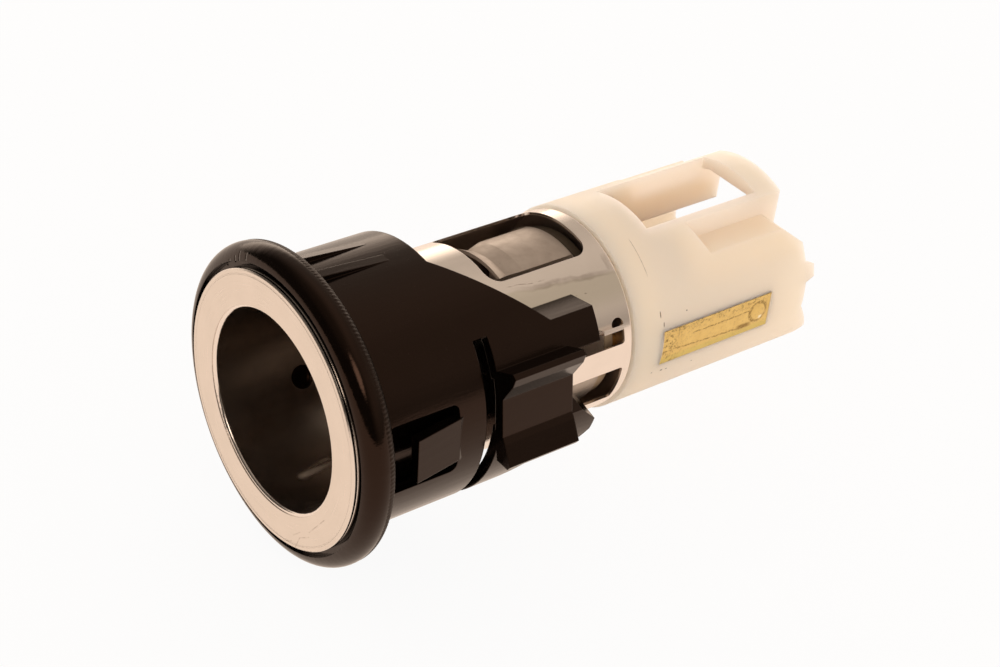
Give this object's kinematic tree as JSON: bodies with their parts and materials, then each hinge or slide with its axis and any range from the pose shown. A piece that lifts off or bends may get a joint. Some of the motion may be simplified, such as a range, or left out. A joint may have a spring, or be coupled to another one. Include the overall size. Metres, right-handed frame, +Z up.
{
  "type": "car lighter socket",
  "caption": "Dashboard lighter socket: plated steel barrel with a flat ring, in a black snap-in bezel sleeve with a lamp clip, and a pale nylon connector housing at the rear.",
  "frame": {"origin": "on the bore axis, in the plane where the back of the rim seats on the panel", "axes": "+Y along the bore axis into the panel, towards the connector; -Y out of the mouth; +Z up, through the barrel window and the housing's top opening; +X towards the brass earth strip"},
  "size_m": [0.0342, 0.0667, 0.0342],
  "materials": {
    "black_plastic": "glossy moulded",
    "plated_steel": "bright plated, lightly scratched",
    "pale_nylon": "translucent, satin",
    "spring_metal": "dull tinned",
    "steel": "zinc plated",
    "fibre": "pale brown fibre",
    "brass": "aged, embossed"
  },
  "bodies": {
    "root": {"sleeve": "black_plastic", "barrel": "plated_steel", "housing": "pale_nylon", "contact_clip": "spring_metal", "centre_stud": "steel", "insulating_bush": "fibre", "live_terminal": "brass", "flat_washer": "steel", "spring_washer": "steel", "stud_nut": "steel", "earth_strip": "brass", "earth_rivet": "brass"}
  },
  "joints": []
}
